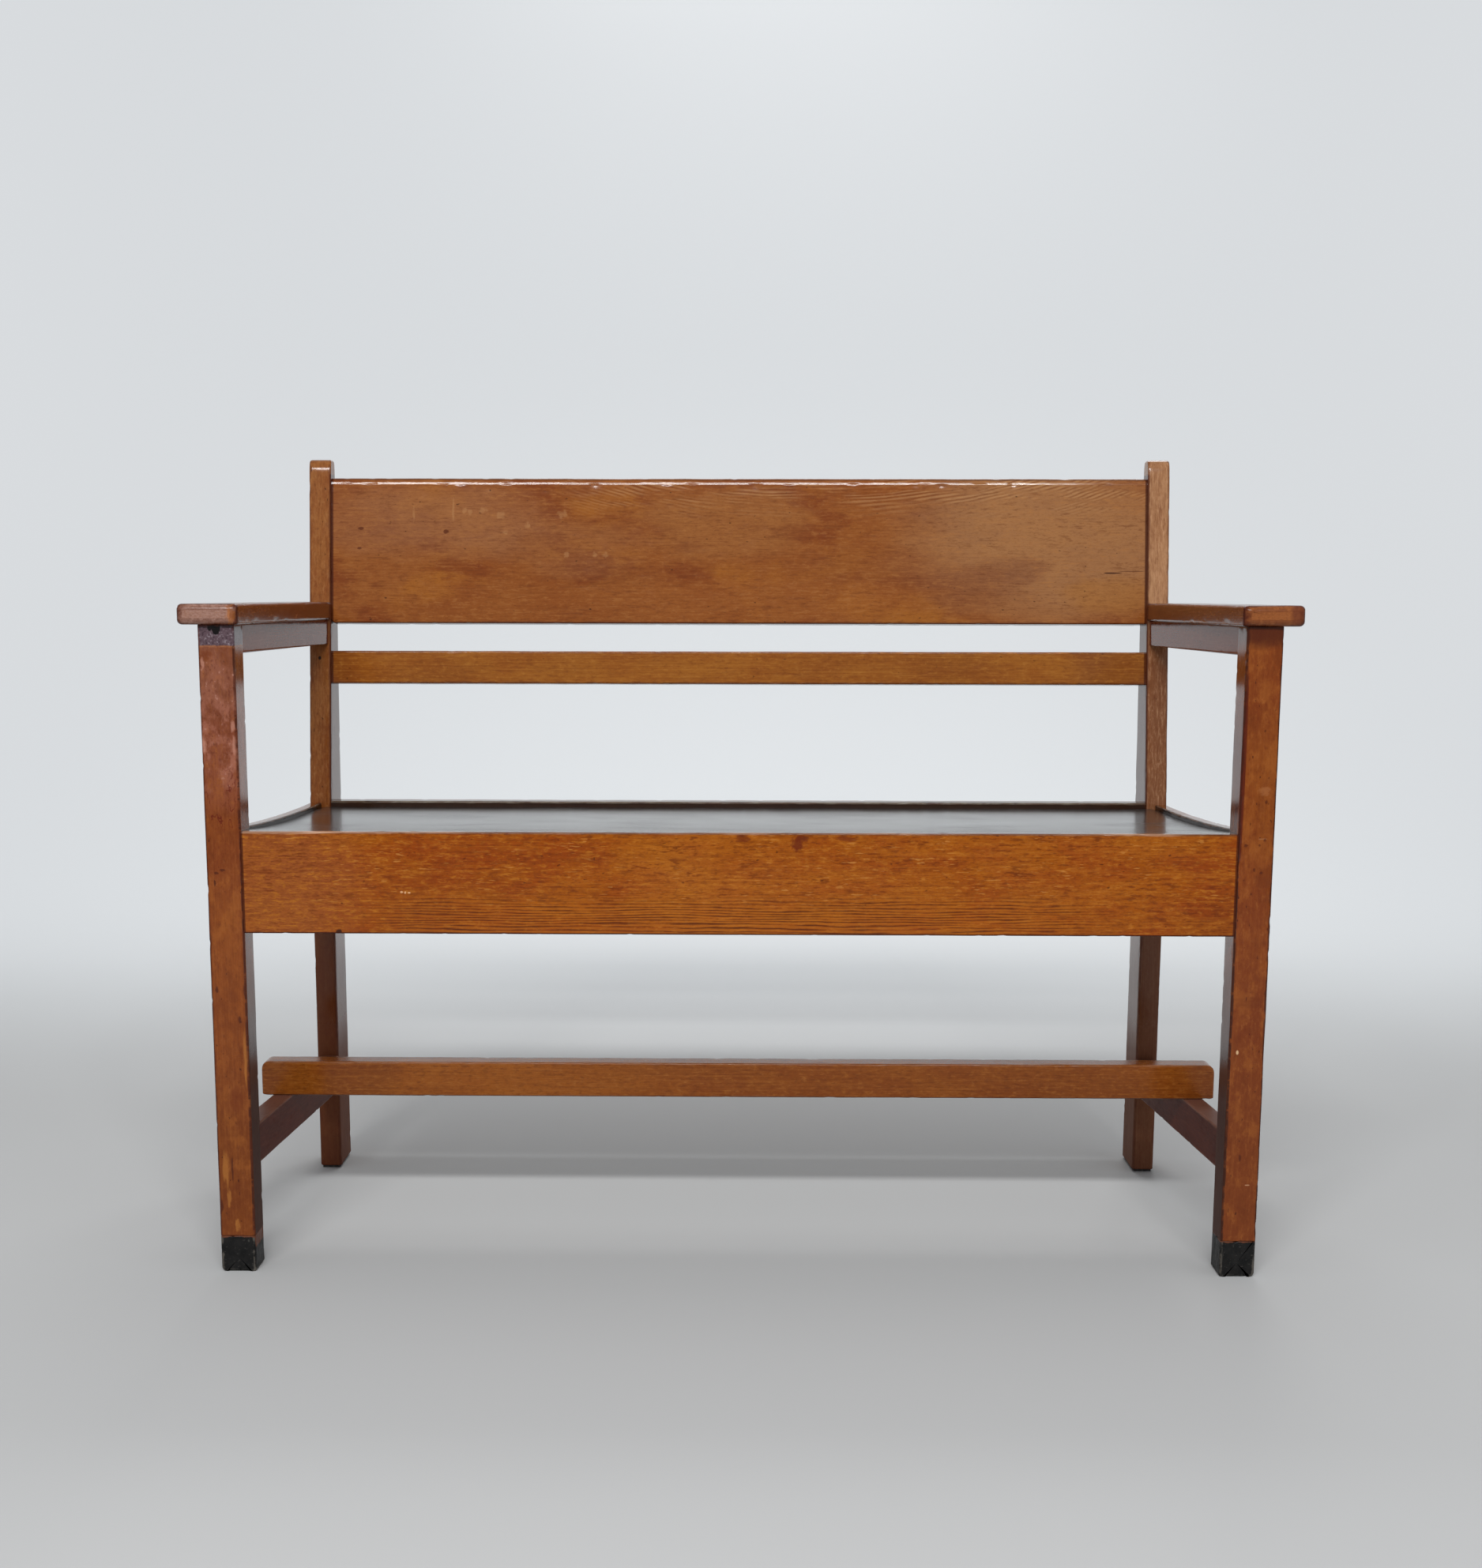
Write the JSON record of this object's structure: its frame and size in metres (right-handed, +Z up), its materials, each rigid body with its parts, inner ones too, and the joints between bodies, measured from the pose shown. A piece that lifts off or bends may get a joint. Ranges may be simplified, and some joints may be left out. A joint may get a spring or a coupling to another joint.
{
  "type": "two-seat settle bench",
  "caption": "Joined oak bench for two with open arms, a raked back of board and slat, a dished black seat and an H stretcher.",
  "frame": {"origin": "on the floor, under the middle of the bench's overall length and depth", "axes": "+X to the sitter's left as the picture shows the bench, which is the viewer's right; -Y to the front, where the sitter faces; +Z up"},
  "size_m": [1.099, 0.4476, 0.847],
  "materials": {
    "leg_oak": "old varnish, red brown, worn along the arrises",
    "rail_oak": "old varnish, orange brown with dark grain streaks",
    "arm_oak": "old varnish, worn grey at the front ends",
    "back_oak": "old varnish, mottled pink brown",
    "stretcher_oak": "old varnish, orange brown, scuffed on top",
    "inner_wood": "plain sawn wood",
    "black_seat": "smooth black lacquer, polished by use",
    "black_foot": "black stain, rubbed grey at the edges",
    "pad_rubber": "matt",
    "screw_steel": "plain steel"
  },
  "bodies": {
    "root": {"front_leg_left": "leg_oak", "front_leg_right": "leg_oak", "foot_block_left": "black_foot", "foot_block_right": "black_foot", "rear_leg_left": "leg_oak", "rear_leg_right": "leg_oak", "rear_pads": "pad_rubber", "front_seat_rail": "rail_oak", "back_seat_rail": "rail_oak", "side_seat_rail_left": "rail_oak", "side_seat_rail_right": "rail_oak", "seat_board": "black_seat", "seat_bearer": "inner_wood", "seat_cleat_left": "inner_wood", "seat_cleat_right": "inner_wood", "corner_block_front_left": "inner_wood", "corner_block_front_right": "inner_wood", "corner_block_rear_left": "inner_wood", "corner_block_rear_right": "inner_wood", "arm_rail_left": "arm_oak", "arm_rail_right": "arm_oak", "arm_left": "arm_oak", "arm_right": "arm_oak", "back_board": "back_oak", "back_slat": "back_oak", "side_stretcher_left": "stretcher_oak", "side_stretcher_right": "stretcher_oak", "long_stretcher": "stretcher_oak", "foot_dowels": "inner_wood", "arm_dowels": "inner_wood", "post_dowels": "inner_wood", "corner_block_screws": "screw_steel", "cleat_screws": "screw_steel", "seat_screws": "screw_steel", "stretcher_screws": "screw_steel"}
  },
  "joints": []
}
